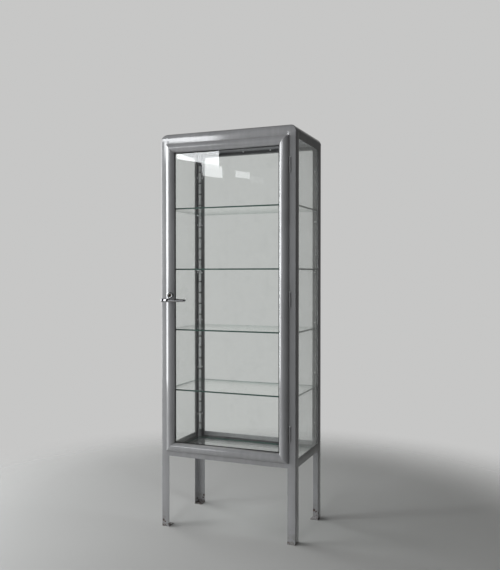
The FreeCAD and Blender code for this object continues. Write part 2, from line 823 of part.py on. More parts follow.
def make_door_glazing():
    """The door pane behind the frame, its rubber line at the front and its beads at the back."""
    width = member * 2
    open_x = door_right - width
    open_low = door_low + width
    open_high = door_high - width
    lap = d["door_lap"]
    glass = keep(block(
        "door_glass", (-(open_x + lap), open_x + lap), (door_back, door_back + pane),
        (open_low - lap, open_high + lap),
    ))
    rubber = d["gasket_width"]
    deep = (door_back - d["gasket_depth"], door_back)
    strips = [
        block("gasket_left", (-open_x, rubber - open_x), deep, (open_low, open_high)),
        block("gasket_right", (open_x - rubber, open_x), deep, (open_low, open_high)),
        block("gasket_foot", (rubber - open_x, open_x - rubber), deep, (open_low, open_low + rubber)),
        block("gasket_head", (rubber - open_x, open_x - rubber), deep, (open_high - rubber, open_high)),
    ]
    keep(group("door_gasket", strips))
    gap = d["door_bead_near"]
    reach = d["door_bead_far"]
    near = open_x + gap
    far = open_x + reach
    low = open_low - reach
    high = open_high + reach
    over = pane + d["door_bead_over"]
    top = door_back + over
    deep = (door_back, top)
    bars = [
        block("door_bead_left", (-far, -near), deep, (low, high)),
        block("door_bead_right", (near, far), deep, (low, high)),
        block("door_bead_foot", (-near, near), deep, (low, open_low - gap)),
        block("door_bead_head", (-near, near), deep, (open_high + gap, high)),
    ]
    screws = []
    for index, share in enumerate(fractions(8)):
        level = low + (high - low) * share
        for side_name, side in SIDES:
            screws.append(screw(
                f"door_bead_screw_{side_name}_{index + 1}", "door_bead", "y",
                ((open_x + d["door_screw_out"]) * side, top, level), over, 1,
            ))
    for index, share in enumerate(fractions(4)):
        across = near * (2 * share - 1)
        for end, level in (("foot", low + reach - d["door_screw_out"]),
                           ("head", high - reach + d["door_screw_out"])):
            screws.append(screw(
                f"door_bead_screw_{end}_{index + 1}", "door_bead", "y",
                (across, top, level), over, 1,
            ))
    beads = group("door_bead_bars", bars)
    keep(cut("door_glazing_beads", beads, group("door_bead_tools", [glass] + screws)))
    keep(group("door_bead_screws", screws))


def make_hinges():
    """Three loose-joint hinges: leaves turned round the post's edge, leaves on the door, and pins."""
    frame_leaves = []
    door_leaves = []
    pins = []
    axis_y = front - d["hinge_fore"]
    knuckle = d["knuckle_radius"]
    length = d["hinge_length"]
    third = length / 3
    sheet_gauge = d["leaf_gauge"]
    for number, share in enumerate(HINGE_LEVELS, start=1):
        low = door_low + d["door_height"] * share - length / 2
        high = low + length
        hole = rod(f"hinge_{number}_pin_hole", "z", (d["hinge_out"], axis_y, low - 1),
                   d["pin_radius"], length + 2)
        wide_hole = rod(f"hinge_{number}_door_hole", "z", (d["hinge_out"], axis_y, low - 1),
                        d["pin_radius"] + d["running_gap"], length + 2)
        wrap = (opening - d["leaf_wrap"], opening)
        plane = (front - sheet_gauge, front)
        parts = [
            block(f"hinge_{number}_return", wrap, (front - sheet_gauge, inner_front), (low, high)),
            block(f"hinge_{number}_tongue", (opening, door_right), plane, (low, high)),
        ]
        play = d["knuckle_gap"]
        ends = (("low", low, low + third - play), ("high", high - third + play, high))
        for name, start, stop in ends:
            centre = (d["hinge_out"], axis_y, start)
            parts.append(rod(f"hinge_{number}_{name}", "z", centre, knuckle, stop - start))
            parts.append(block(f"hinge_{number}_{name}_neck", (door_right, d["hinge_out"]),
                               plane, (start, stop)))
        solid = fuse(f"hinge_{number}_frame_solid", parts)
        frame_leaves.append(cut(f"hinge_{number}_frame_leaf", solid, hole))
        barrel = rod(f"hinge_{number}_mid", "z", (d["hinge_out"], axis_y, low + third), knuckle, third)
        leaf = block(f"hinge_{number}_leaf", (door_right - d["leaf_width"], door_right),
                     (door_back, door_back + sheet_gauge), (low, high))
        neck = block(f"hinge_{number}_neck", (door_right, d["hinge_out"]),
                     (door_back, door_back + sheet_gauge), (low + third, high - third))
        solid = fuse(f"hinge_{number}_door_solid", [barrel, leaf, neck])
        door_leaves.append(cut(f"hinge_{number}_door_leaf", solid, wide_hole))
        shaft = rod(f"hinge_{number}_shaft", "z", (d["hinge_out"], axis_y, low), d["pin_radius"], length)
        crown = rod(f"hinge_{number}_crown", "z", (d["hinge_out"], axis_y, high),
                    knuckle - CROWN_STEP, d["pin_crown"], d["pin_radius"])
        pins.append(fuse(f"hinge_{number}_pin", [shaft, crown]))
    keep(group("hinge_frame_leaves", frame_leaves))
    keep(group("hinge_door_leaves", door_leaves))
    keep(group("hinge_pins", pins))


def make_buffers():
    """Rubber pads that the closed door rests on."""
    pads = []
    half_pad = d["buffer_width"] / 2
    for index, share in enumerate(BUFFER_LEVELS):
        level = door_low + d["door_height"] * share
        pads.append(block(f"buffer_post_{index + 1}", (-(opening + 1), door_left + 1),
                          (door_back, front), (level - half_pad, level + half_pad)))
    for side_name, side in SIDES:
        across = d["buffer_out"] * side
        spread = (across - half_pad, across + half_pad)
        pads.append(block(f"buffer_foot_{side_name}", spread,
                          (door_back, front), (door_low + 1, rail_top - half_pad)))
        pads.append(block(f"buffer_head_{side_name}", spread,
                          (door_back, front), (door_high - 6, door_high - 1)))
    keep(group("door_buffers", pads))


def saddle(label, level, radius, nose):
    """A round boss whose back follows the half-round stile."""
    base = door_back - member / 2
    lump = rod(f"{label}_lump", "y", (-d["latch_out"], nose, level), radius, base - nose)
    start = (door_left + member, door_back, level - member)
    spine = rod(f"{label}_spine", "z", start, member, member * 2)
    return cut(f"{label}_saddle", lump, spine)


def make_lock():
    """The case inside the stile, the rosette, and the plug with its keyway and tail."""
    out = -d["latch_out"]
    lever_at = d["lever_level"]
    lock_at = d["lock_level"]
    nose = door_back - member - d["boss_reach"]
    fit = d["running_gap"]
    deep = member + d["boss_reach"]
    wall = d["case_gauge"]
    across = (out - d["case_outward"], out + d["case_inward"])
    depth = (door_back - d["case_front"], door_back - d["case_back"])
    rise = (lever_at - d["case_below"], lock_at + d["case_above"])
    shell = block("lock_case_outer", across, depth, rise)
    inside = [(low + wall, high - wall) for low, high in (across, depth, rise)]
    case = cut("lock_case_shell", shell, block("lock_case_hollow", *inside))
    bores = group("lock_case_bores", [
        rod("case_spindle_bore", "y", (out, door_back - member, lever_at), d["spindle_radius"] + fit, member),
        rod("case_plug_bore", "y", (out, door_back - member, lock_at), d["stem_radius"] + fit, member / 2),
    ])
    keep(cut("lock_case", case, bores))

    cup = rod("rosette_cup", "y", (out, nose - 1, lock_at), d["cup_radius"], d["cup_depth"] + 1)
    hole = rod("rosette_hole", "y", (out, nose - 1, lock_at), d["plug_radius"] + fit, deep)
    rosette = saddle("rosette", lock_at, d["rosette_radius"], nose)
    keep(cut("lock_rosette", rosette, group("rosette_tools", [cup, hole])))

    plug_front = nose + d["plug_sunk"]
    plug_back = plug_front + d["plug_length"]
    tail_front = plug_back + d["stem_length"]
    drum = rod("plug_drum", "y", (out, plug_front, lock_at), d["plug_radius"], d["plug_length"])
    stem = rod("plug_stem", "y", (out, plug_back, lock_at), d["stem_radius"], d["stem_length"])
    half_key = d["key_width"] / 2
    half_high = d["key_height"] / 2
    keyway = block("keyway", (out - half_key, out + half_key), (nose, plug_front + d["key_depth"]),
                   (lock_at - half_high, lock_at + half_high))
    keep(cut("lock_plug", fuse("plug_solid", [drum, stem]), keyway))
    half_tail = d["lock_tail_width"] / 2
    keep(block("lock_tail", (out - half_tail, out + half_tail),
               (tail_front, tail_front + d["lock_tail_gauge"]),
               (lock_at - half_tail, lock_at + d["lock_tail_reach"])))


def make_lever():
    """The lever with its collar, the spindle through the stile, and the latch cam behind the post."""
    out = -d["latch_out"]
    level = d["lever_level"]
    nose = door_back - member - d["boss_reach"]
    hole = rod("collar_hole", "y", (out, nose - 1, level),
               d["spindle_radius"] + d["running_gap"], member + d["boss_reach"])
    keep(cut("handle_collar", saddle("collar", level, d["collar_radius"], nose), hole))

    tip_y = front - d["handle_reach"]
    arm_y = tip_y + d["lever_in"]
    spindle_front = arm_y + d["lever_in"] / 2
    cam_front = inner_front + d["cam_play"]
    cam_back = cam_front + d["cam_gauge"]
    spindle = keep(rod("lever_spindle", "y", (out, spindle_front, level),
                       d["spindle_radius"], cam_back - spindle_front))
    half_cam = d["cam_width"] / 2
    bar = block("cam_bar", (out - half_cam, out + half_cam), (cam_front, cam_back),
                (level - d["cam_reach"], level))
    eye = rod("cam_eye", "y", (out, cam_front, level), d["cam_eye"], d["cam_gauge"])
    keep(cut("latch_cam", fuse("cam_solid", [bar, eye]), spindle))
    keep(rod("cam_screw", "y", (out, cam_back, level),
             d["cam_screw_head"], d["cam_screw_high"], d["cam_screw_crown"]))

    long_run = d["lever_long"] - d["tip_radius"]
    tail_run = d["lever_tail"] - d["knob_radius"]
    hub_front = tip_y + d["hub_round"]
    hub = rod("lever_hub", "y", (out, hub_front, level), d["hub_radius"], nose - d["hub_gap"] - hub_front)
    dome = rod("lever_dome", "y", (out, tip_y, level), d["hub_crown"], d["hub_round"], d["hub_radius"])
    grip = rod("lever_grip", "x", (out, arm_y, level), d["grip_root"], long_run, d["grip_end"])
    tip = ball("lever_tip", "x", (out + long_run, arm_y, level), d["tip_radius"])
    tail = rod("lever_tail", "x", (out - tail_run, arm_y, level), d["tail_neck"], tail_run, d["tail_root"])
    knob = ball("lever_knob", "x", (out - tail_run, arm_y, level), d["knob_radius"])
    keep(cut("lever", fuse("lever_solid", [hub, dome, grip, tip, tail, knob]), spindle))


def faults():
    """Everything that failed to compute, as plain text."""
    found = []
    for item in doc.Objects:
        if "Invalid" in item.State or "Error" in item.State:
            found.append(f"{item.Label}: {item.State}")
    for node in nodes:
        if node.Shape.isNull() or not node.Shape.isValid():
            found.append(f"{node.Label}: no valid shape")
        elif not node.Shape.Solids:
            found.append(f"{node.Label}: no solid")
    return found


make_posts()
make_roof()
make_rails()
make_glazing()
make_standards()
make_shelves()
make_door_frame()
make_door_glazing()
make_hinges()
make_buffers()
make_lock()
make_lever()
doc.recompute()

problems = faults()
if problems:
    raise RuntimeError("; ".join(problems))
os.makedirs("parts", exist_ok=True)
for node in nodes:
    node.Shape.exportStep(f"parts/{node.Label}.step")
    print(node.Label, len(node.Shape.Solids), "solids", round(node.Shape.Volume, 1), "mm3")
print(len(nodes), "nodes")
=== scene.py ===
import math

import bmesh
import bpy
from mathutils import Matrix, Vector


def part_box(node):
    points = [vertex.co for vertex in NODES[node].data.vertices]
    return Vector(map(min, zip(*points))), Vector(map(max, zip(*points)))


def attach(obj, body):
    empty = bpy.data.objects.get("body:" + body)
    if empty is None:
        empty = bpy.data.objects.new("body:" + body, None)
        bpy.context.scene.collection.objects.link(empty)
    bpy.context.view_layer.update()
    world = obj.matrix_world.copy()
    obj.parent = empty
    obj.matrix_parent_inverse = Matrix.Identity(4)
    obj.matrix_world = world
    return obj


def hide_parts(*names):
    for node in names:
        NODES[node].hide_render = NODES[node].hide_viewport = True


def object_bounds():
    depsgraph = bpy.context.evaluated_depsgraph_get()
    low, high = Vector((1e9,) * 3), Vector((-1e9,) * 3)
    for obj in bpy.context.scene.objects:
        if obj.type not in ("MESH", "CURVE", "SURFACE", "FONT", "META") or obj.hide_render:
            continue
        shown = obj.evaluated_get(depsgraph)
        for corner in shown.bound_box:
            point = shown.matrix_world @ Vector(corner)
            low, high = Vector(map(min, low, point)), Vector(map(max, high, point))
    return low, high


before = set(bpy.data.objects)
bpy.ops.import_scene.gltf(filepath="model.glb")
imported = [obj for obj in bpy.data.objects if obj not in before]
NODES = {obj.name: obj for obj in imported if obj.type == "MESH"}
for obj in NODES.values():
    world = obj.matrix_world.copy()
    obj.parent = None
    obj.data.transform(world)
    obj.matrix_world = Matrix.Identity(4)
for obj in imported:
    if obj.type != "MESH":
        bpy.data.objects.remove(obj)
cad_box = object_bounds()

# Sizes that the frame's boxes don't say, in metres.
SHEET = 0.003  # posts and rails
CAP_SHEET = 0.002
MEMBER_SHEET = 0.0015  # half-round members of the door
SIDE_ROLL = 0.028
FRONT_ROLL = 0.020
NOTCH_FIRST = 0.3738
NOTCH_PITCH = 0.0513
CLEARANCE = 0.0001  # round what turns in a bore

# Colours, as linear red, green and blue.
BACKDROP = (0.57, 0.57, 0.565)
ROOM = (0.62, 0.62, 0.61)
PALE_FLOOR = (0.47, 0.468, 0.455)
DAYLIGHT = (0.96, 0.98, 1.0)
GREY_PAINT = (0.250, 0.250, 0.256)
# painted shade: black for the glazing beads, standing for the shade in the frame's inner corners
SHADE_BLACK = (0.020, 0.020, 0.021)
RUBBED_STEEL = (0.42, 0.42, 0.42)
# painted shade for the enamel's corners and crevices
CREVICE_SHADE = (0.055, 0.050, 0.044)
FOOT_GRIME = (0.13, 0.115, 0.098)
# painted shade round the notches of the shelf standards
NOTCH_SHADE = (0.05, 0.045, 0.04)
DUST = (0.40, 0.385, 0.36)
DARK_RUST, RED_RUST = (0.026, 0.021, 0.019), (0.085, 0.042, 0.027)
CLEAR_GLASS, SIDE_GLASS = (0.978, 0.986, 0.982), (0.955, 0.962, 0.958)
GLASS_EDGE = (0.030, 0.062, 0.052)
GLASS_FILM = (0.62, 0.62, 0.60)
# the lever's plate is a darker copy of the chrome, painted shade for the dark room that it mirrors
CHROME_PLATE, SHADED_CHROME, PITS = (0.58, 0.58, 0.59), (0.40, 0.40, 0.41), (0.20, 0.18, 0.15)
ZINC_PLATE, PALE_PLATE, TARNISH = (0.84, 0.85, 0.85), (0.95, 0.95, 0.94), (0.30, 0.28, 0.26)
# the lock plug's brass: a dark plate, darkened further as painted shade for the rosette's well
SHADED_BRASS, BROWN_BRASS = (0.075, 0.064, 0.046), (0.030, 0.024, 0.017)
BLACK_RUBBER, RUBBER_BLOOM = (0.014, 0.014, 0.014), (0.055, 0.053, 0.050)


# ---------------------------------------------------------------- materials


class Shader:
    """A node material, built socket by socket."""

    def __init__(self, name):
        self.material = bpy.data.materials.new(name)
        self.material.use_nodes = True
        self.tree = self.material.node_tree
        self.tree.nodes.clear()
        self.out = self.add("ShaderNodeOutputMaterial")
        self.place = self.add("ShaderNodeTexCoord").outputs["Object"]

    def feed(self, socket, value):
        """Links a socket into another, or sets its plain value."""
        if isinstance(value, bpy.types.NodeSocket):
            self.tree.links.new(value, socket)
        else:
            socket.default_value = value

    def add(self, kind, settings=None, **inputs):
        node = self.tree.nodes.new(kind)
        for key, value in (settings or {}).items():
            setattr(node, key, value)
        for key, value in inputs.items():
            self.feed(node.inputs[key.replace("_", " ")], value)
        return node

    def math(self, operation, *values):
        node = self.add("ShaderNodeMath", {"operation": operation})
        for socket, value in zip(node.inputs, values):
            self.feed(socket, value)
        return node.outputs[0]

    def times(self, first, second):
        return self.math("MULTIPLY", first, second)

    def noise(self, scale, detail, stretch=(1, 1, 1)):
        """Grain of about 1 / scale metres, drawn out along an axis where stretch is below 1."""
        mapping = self.add("ShaderNodeMapping", Vector=self.place, Scale=stretch)
        node = self.add(
            "ShaderNodeTexNoise", Vector=mapping.outputs[0], Scale=scale, Detail=detail,
        )
        return node.outputs["Fac"]

    def remap(self, value, low, high, start=0.0, stop=1.0):
        """start where the value is low, stop where it is high, and a smooth step between."""
        node = self.add("ShaderNodeMapRange", {"interpolation_type": "SMOOTHSTEP"}, Value=value)
        for socket, number in zip(node.inputs[1:5], (low, high, start, stop)):
            socket.default_value = number
        return node.outputs[0]

    def mix(self, share, first, second):
        """A colour between two, which are triples or sockets."""
        node = self.add("ShaderNodeMix", {"data_type": "RGBA"})
        self.feed(node.inputs["Factor"], share)
        for socket, value in ((node.inputs[6], first), (node.inputs[7], second)):
            self.feed(socket, (*value, 1.0) if isinstance(value, tuple) else value)
        return node.outputs[2]

    def scaled(self, colour, share):
        node = self.add("ShaderNodeVectorMath", {"operation": "SCALE"}, Scale=share)
        node.inputs[0].default_value = colour
        return node.outputs[0]

    def blend(self, share, first, second):
        """A surface between two."""
        node = self.add("ShaderNodeMixShader", Fac=share)
        self.feed(node.inputs[1], first)
        self.feed(node.inputs[2], second)
        return node.outputs[0]

    def axis(self, index):
        return self.add("ShaderNodeSeparateXYZ", Vector=self.place).outputs[index]

    def facing(self, index):
        """How far the surface faces along one axis of its own piece."""
        normal = self.add("ShaderNodeTexCoord").outputs["Normal"]
        return self.add("ShaderNodeSeparateXYZ", Vector=normal).outputs[index]

    def spot(self, centre, radius):
        """1 inside a ragged spot round a point, 0 outside."""
        away = self.add("ShaderNodeVectorMath", {"operation": "DISTANCE"})
        self.feed(away.inputs[0], self.place)
        away.inputs[1].default_value = centre
        wander = self.math("SUBTRACT", self.noise(210, 4), 0.5)
        edge = self.math("ADD", away.outputs["Value"], self.times(wander, radius * 2))
        return self.remap(edge, radius, radius * 0.85)

    def bump(self, height, distance, strength, under=None):
        node = self.add("ShaderNodeBump", Height=height, Distance=distance, Strength=strength)
        if under is not None:
            self.feed(node.inputs["Normal"], under)
        return node.outputs[0]

    def edges(self, radius):
        """1 on corners that the hand and the cloth rub, 0 on flats."""
        soft = self.add("ShaderNodeBevel", {"samples": 4}, Radius=radius).outputs[0]
        hard = self.add("ShaderNodeNewGeometry").outputs["Normal"]
        dot = self.add("ShaderNodeVectorMath", {"operation": "DOT_PRODUCT"})
        self.feed(dot.inputs[0], soft)
        self.feed(dot.inputs[1], hard)
        return self.remap(self.math("SUBTRACT", 1.0, dot.outputs["Value"]), 0.01, 0.2)

    def principled(self, **inputs):
        return self.add("ShaderNodeBsdfPrincipled", **inputs).outputs[0]

    def finish(self, surface):
        self.tree.links.new(surface, self.out.inputs["Surface"])
        return self.material


# Places and radii of the chips in the enamel near the feet.
CHIPS = (
    ((-0.292, -0.146, 0.026), 0.0050),
    ((-0.285, -0.146, 0.020), 0.0035),
    ((-0.268, -0.146, 0.011), 0.0040),
    ((0.272, 0.201, 0.030), 0.0060),
    ((0.280, 0.201, 0.025), 0.0045),
    ((0.296, 0.200, 0.012), 0.0060),
    ((-0.270, 0.201, 0.034), 0.0055),
    ((-0.274, 0.201, 0.022), 0.0040),
    ((0.268, -0.146, 0.008), 0.0035),
    ((0.300, -0.139, 0.012), 0.0040),
    ((-0.300, 0.185, 0.020), 0.0060),
    ((0.300, 0.170, 0.030), 0.0050),
)


def enamel(name, tone=GREY_PAINT, chipped=False):
    """Old brushed enamel over steel: glossy, slightly wavy, rubbed on its corners."""
    s = Shader(name)
    cloudy = s.remap(s.noise(5.0, 4), 0.3, 0.7, 0.90, 1.08)
    streaks = s.remap(s.noise(60.0, 3, (1, 1, 0.06)), 0.35, 0.7, 0.96, 1.04)
    colour = s.scaled(tone, s.times(cloudy, streaks))
    specks = s.remap(s.noise(900.0, 2), 0.66, 0.78)
    colour = s.mix(s.times(specks, 0.35), colour, tuple(0.55 * channel for channel in tone))
    rubbed = s.times(s.edges(0.0012), s.remap(s.noise(45.0, 5), 0.42, 0.62))
    colour = s.mix(s.times(rubbed, 0.45), colour, RUBBED_STEEL)
    # painted shade: the occlusion darkens the enamel in corners and crevices, where shade falls
    crevice = s.add("ShaderNodeAmbientOcclusion", {"samples": 4}, Distance=0.012)
    shade_in_crevices = s.remap(crevice.outputs["AO"], 0.15, 0.75, 1.0, 0.0)
    colour = s.mix(s.times(shade_in_crevices, 0.40), colour, CREVICE_SHADE)
    on_top = s.remap(s.facing(2), 0.6, 0.95)
    dust = s.times(on_top, s.remap(s.noise(22.0, 4), 0.3, 0.8, 0.1, 0.4))
    colour = s.mix(dust, colour, DUST)
    rough = s.remap(s.noise(14.0, 4), 0.3, 0.75, 0.30, 0.44)
    rough = s.math("MAXIMUM", rough, s.times(dust, 1.6))
    peel = s.bump(s.noise(260.0, 2), 0.00012, 0.18)
    waves = s.bump(s.noise(38.0, 2, (1, 1, 0.35)), 0.0006, 0.10, peel)
    coat = 1.0
    if chipped:
        height = s.axis(2)
        dark_patches = s.times(s.remap(height, 0.10, 0.0), s.remap(s.noise(70.0, 5), 0.35, 0.7))
        colour = s.mix(s.times(dark_patches, 0.55), colour, FOOT_GRIME)
        bare = s.times(s.remap(height, 0.016, 0.002), s.remap(s.noise(150.0, 4), 0.50, 0.56))
        for centre, radius in CHIPS:
            bare = s.math("MAXIMUM", bare, s.spot(centre, radius))
        rust = s.mix(s.remap(s.noise(330.0, 3), 0.40, 0.62), DARK_RUST, RED_RUST)
        colour = s.mix(bare, colour, rust)
        rough = s.math("MAXIMUM", rough, s.times(bare, 0.8))
        coat = s.math("SUBTRACT", 1.0, bare)
        waves = s.bump(coat, 0.0004, 0.8, waves)
    return s.finish(s.principled(
        Base_Color=colour, Roughness=rough, Normal=waves,
        Coat_Weight=coat, Coat_Roughness=0.09, Coat_IOR=1.78,
    ))


def pane(name, edge_axes, tint=CLEAR_GLASS, dusty=0.03, veil=0.0, mirroring=1.0):
    """Clear float glass. edge_axes are the two axes that its ground edges face, veil is the share
    of a thin even film that glows when light comes from behind, and mirroring scales its gloss."""
    square_gloss, film_glow, edge_lift = 0.043, 0.8, 1.9
    s = Shader(name)
    clear = s.add("ShaderNodeBsdfTransparent", Color=(*tint, 1)).outputs[0]
    mirror = s.add("ShaderNodeBsdfGlossy", Color=(1, 1, 1, 1), Roughness=0.012).outputs[0]
    # the gloss rises from the square look to the grazing one by Schlick's rule
    slant = s.math("POWER", s.add("ShaderNodeLayerWeight", Blend=0.5).outputs["Facing"], 5.0)
    gloss = s.math("MULTIPLY_ADD", slant, 1.0 - square_gloss, square_gloss)
    face = s.blend(s.times(gloss, mirroring), clear, mirror)
    smears = s.times(s.remap(s.noise(16.0, 6), 0.45, 0.85), dusty)
    grains = s.times(s.remap(s.noise(420.0, 2), 0.72, 0.80), dusty * 2)
    film = s.math("ADD", s.math("ADD", smears, grains), veil)
    scatter = s.add("ShaderNodeBsdfDiffuse", Color=(*GLASS_FILM, 1)).outputs[0]
    glow = s.add("ShaderNodeBsdfTranslucent", Color=(*GLASS_FILM, 1)).outputs[0]
    dulled = s.blend(film, face, s.blend(film_glow, scatter, glow))
    bright_edge = tuple(edge_lift * channel for channel in GLASS_EDGE)
    band = s.mix(s.remap(s.noise(240.0, 3), 0.35, 0.7), GLASS_EDGE, bright_edge)
    ground = s.principled(Base_Color=band, Roughness=0.22, IOR=1.5, Coat_Weight=0.3)
    sides = [s.math("ABSOLUTE", s.facing(index)) for index in edge_axes]
    on_edge = s.remap(s.math("MAXIMUM", *sides), 0.35, 0.65)
    return s.finish(s.blend(on_edge, dulled, ground))


def chrome(name, plate=CHROME_PLATE):
    """Old polished plate, pitted and finely scratched."""
    s = Shader(name)
    pits = s.remap(s.noise(520.0, 3), 0.63, 0.70)
    scratches = s.remap(s.noise(900.0, 2, (0.05, 1, 1)), 0.4, 0.7, 0.09, 0.20)
    colour = s.mix(pits, plate, PITS)
    rough = s.math("ADD", scratches, s.times(pits, 0.35))
    normal = s.bump(s.noise(130.0, 2), 0.0003, 0.18)
    return s.finish(s.principled(
        Base_Color=colour, Metallic=1.0, Roughness=rough, Normal=normal,
    ))


def zinc(name, tone=ZINC_PLATE, tarnished=0.5, notches=None):
    """Dull plated steel with a fine spangle. notches is the level of a notched strip's first notch
    and the pitch of the rest: a painted shade sits round each of them, for the depth of the notch."""
    s = Shader(name)
    cells = s.add("ShaderNodeTexVoronoi", Vector=s.place, Scale=260.0).outputs["Color"]
    grey = s.add("ShaderNodeSeparateXYZ", Vector=cells).outputs[0]
    plate = s.scaled(tone, s.remap(grey, 0.0, 1.0, 0.85, 1.10))
    tarnish = s.remap(s.noise(60.0, 5), 0.45, 0.75)
    colour = s.mix(s.times(tarnish, tarnished), plate, TARNISH)
    if notches:
        first, pitch = notches
        # painted shade: dark bands round each notch stand for the shade in its depth
        steps = s.math("DIVIDE", s.math("SUBTRACT", s.axis(2), first - pitch / 2), pitch)
        away = s.math("ABSOLUTE", s.math("SUBTRACT", s.math("FRACT", steps), 0.5))
        patches = s.remap(s.noise(90.0, 3), 0.25, 0.6, 0.45, 0.9)
        dark_patches = s.times(s.remap(away, 0.075, 0.035), patches)
        colour = s.mix(dark_patches, colour, NOTCH_SHADE)
    rough = s.remap(s.noise(180.0, 3), 0.3, 0.7, 0.30, 0.46)
    normal = s.bump(s.noise(700.0, 2), 0.00012, 0.4)
    return s.finish(s.principled(
        Base_Color=colour, Metallic=0.15, Roughness=rough, Normal=normal,
    ))


def brass(name):
    """Dull dark brass, browned in patches; part of its darkness is a painted shade from the
    rosette's well.
    """
    s = Shader(name)
    brown = s.remap(s.noise(240.0, 4), 0.42, 0.68)
    colour = s.mix(brown, SHADED_BRASS, BROWN_BRASS)
    rough = s.remap(s.noise(300.0, 3), 0.3, 0.7, 0.22, 0.45)
    normal = s.bump(s.noise(600.0, 2), 0.0001, 0.4)
    return s.finish(s.principled(
        Base_Color=colour, Metallic=1.0, Roughness=rough, Normal=normal,
    ))


def rubber(name):
    """Matte black rubber with a grey bloom."""
    s = Shader(name)
    bloom = s.remap(s.noise(160.0, 4), 0.45, 0.75)
    colour = s.mix(s.times(bloom, 0.6), BLACK_RUBBER, RUBBER_BLOOM)
    normal = s.bump(s.noise(800.0, 3), 0.0002, 0.5)
    return s.finish(s.principled(Base_Color=colour, Roughness=0.62, Normal=normal))


def pale_floor(name):
    """The studio floor, which fades out between two distances from the cabinet."""
    fade_start, fade_stop = 1.05, 2.0
    s = Shader(name)
    x, y = s.axis(0), s.axis(1)
    away = s.math("SQRT", s.math("ADD", s.times(x, x), s.times(y, y)))
    solid = s.principled(Base_Color=(*PALE_FLOOR, 1), Roughness=0.6)
    clear = s.add("ShaderNodeBsdfTransparent").outputs[0]
    return s.finish(s.blend(s.remap(away, fade_start, fade_stop), solid, clear))


GREY = enamel("grey_enamel")
GREY_LEG = enamel("grey_enamel_chipped", chipped=True)
CHROME = chrome("chrome_plate")
# painted shade: the lever's chrome is darker to stand for the dark room that it mirrors
CHROME_LEVER = chrome("chrome_lever", SHADED_CHROME)
ZINC = zinc("zinc_steel")
BRASS = brass("brass")
RUBBER = rubber("black_rubber")
GLASS_LEVEL = pane("shelf_glass", (0, 1), dusty=0.05)
GLASS_FRONT = pane("front_glass", (0, 2))
GLASS_REAR = pane("rear_glass", (0, 2), mirroring=0.2)
GLASS_SIDE = pane("side_glass", (1, 2), SIDE_GLASS, veil=0.09)
# painted shade: black enamel for the glazing beads, standing for the shade in the inner corners
BEAD_SHADE_ENAMEL = enamel("black_enamel", SHADE_BLACK)
STRIP = zinc("zinc_strip", PALE_PLATE, tarnished=0.2, notches=(NOTCH_FIRST, NOTCH_PITCH))


# ---------------------------------------------------------------- mesh helpers

BEND_STEPS = 5


def object_from(name, mesh_bm, material):
    """Turns a bmesh into an object of the scene."""
    bmesh.ops.recalc_face_normals(mesh_bm, faces=mesh_bm.faces)
    mesh = bpy.data.meshes.new(name)
    mesh_bm.to_mesh(mesh)
    mesh_bm.free()
    mesh.materials.append(material)
    made = bpy.data.objects.new(name, mesh)
    bpy.context.scene.collection.objects.link(made)
    return made


def piece_from(name, mesh_bm, body, material, replaces=(), sharp=35):
    """Turns a bmesh into a piece that rides on a body. Corners over sharp degrees stay hard."""
    piece = object_from(name, mesh_bm, material)
    mesh = piece.data
    mesh.polygons.foreach_set("use_smooth", [True] * len(mesh.polygons))
    mesh.set_sharp_from_angle(angle=math.radians(sharp))
    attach(piece, body)
    if replaces:
        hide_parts(*replaces)
    return piece


def bevel(piece, width):
    """Softens the sharp corners of a piece without leaving its box."""
    modifier = piece.modifiers.new("softened", "BEVEL")
    modifier.width = width
    modifier.segments = 2
    modifier.limit_method = "ANGLE"
    modifier.angle_limit = math.radians(40)
    modifier.harden_normals = True


def rounded(points, radii):
    """A closed outline whose corners are arcs of the given radii."""
    outline = []
    for index, (corner, radius) in enumerate(zip(points, radii)):
        here = Vector(corner)
        if radius <= 0:
            outline.append(here)
            continue
        back = (Vector(points[index - 1]) - here).normalized()
        ahead = (Vector(points[(index + 1) % len(points)]) - here).normalized()
        half_turn = back.angle(ahead) / 2
        run = radius / math.tan(half_turn)
        centre = here + (back + ahead).normalized() * radius / math.sin(half_turn)
        start, stop = here + back * run - centre, here + ahead * run - centre
        for step in range(BEND_STEPS + 1):
            share = step / BEND_STEPS
            outline.append(centre + start.slerp(stop, share, start).normalized() * radius)
    return outline


def arc(centre, radius, start, stop, steps):
    """Points of an arc in a plane, angles in degrees."""
    points = []
    for step in range(steps + 1):
        angle = math.radians(start + (stop - start) * step / steps)
        points.append((
            centre[0] + radius * math.cos(angle), centre[1] + radius * math.sin(angle),
        ))
    return points


def bridge(mesh_bm, first, second, closed=True):
    """Joins two rows of points by faces, round to the start again if they are closed."""
    for index in range(len(first) if closed else len(first) - 1):
        follow = (index + 1) % len(first)
        mesh_bm.faces.new((first[index], first[follow], second[follow], second[index]))


def fan(mesh_bm, ring, pole):
    """Closes a ring of points with faces that meet at a pole."""
    for index, vert in enumerate(ring):
        mesh_bm.faces.new((vert, ring[(index + 1) % len(ring)], pole))


def prism(mesh_bm, outline, low, high, put):
    """Extrudes an outline from low to high. put(u, v, w) gives the point in the frame."""
    ends = [[mesh_bm.verts.new(put(p[0], p[1], w)) for p in outline] for w in (low, high)]
    mesh_bm.faces.new(ends[0])
    mesh_bm.faces.new(list(reversed(ends[1])))
    bridge(mesh_bm, *ends)


